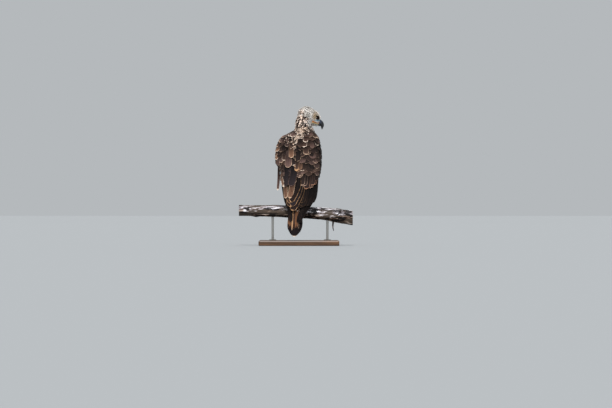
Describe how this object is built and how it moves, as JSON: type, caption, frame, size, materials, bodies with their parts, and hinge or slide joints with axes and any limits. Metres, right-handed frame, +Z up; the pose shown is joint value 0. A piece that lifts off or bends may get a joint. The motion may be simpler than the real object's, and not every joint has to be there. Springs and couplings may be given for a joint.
{
  "type": "grey-headed fish eagle",
  "caption": "Life-size still model of a young grey-headed fish eagle, seen perched with head turned, on a cut branch held over a flat base.",
  "frame": {"origin": "middle of the display base's underside", "axes": "+Z up; +X along the branch, the way the bill points; -Y the side of the bird's back, +Y the side of its breast"},
  "size_m": [0.54, 0.27, 0.6608],
  "materials": {
    "plumage_brown": "matt feathers, dark brown with pale fringes",
    "head_pale": "matt fine feathers, whitish with brown mottles",
    "horn_slate": "smooth horn, slate to black",
    "eye_dark": "wet and glossy, very dark brown",
    "foot_scales": "greyish white scaly skin",
    "dead_wood": "bleached dead wood, cracked",
    "stand_walnut": "satin dark wood",
    "stand_steel": "brushed"
  },
  "bodies": {
    "root": {"torso": "plumage_brown", "wing_left": "plumage_brown", "wing_right": "plumage_brown", "tail": "plumage_brown", "thigh_left": "plumage_brown", "thigh_right": "plumage_brown", "head": "head_pale", "neck": "head_pale", "bill_upper": "horn_slate", "bill_lower": "horn_slate", "claw_left_inner": "horn_slate", "claw_left_middle": "horn_slate", "claw_left_outer": "horn_slate", "claw_left_hind": "horn_slate", "claw_right_inner": "horn_slate", "claw_right_middle": "horn_slate", "claw_right_outer": "horn_slate", "claw_right_hind": "horn_slate", "eye_left": "eye_dark", "eye_right": "eye_dark", "foot_left": "foot_scales", "foot_right": "foot_scales", "tarsus_left": "foot_scales", "tarsus_right": "foot_scales", "perch_branch": "dead_wood", "stand_base": "stand_walnut", "stand_rod_left": "stand_steel", "stand_rod_right": "stand_steel"}
  },
  "joints": []
}
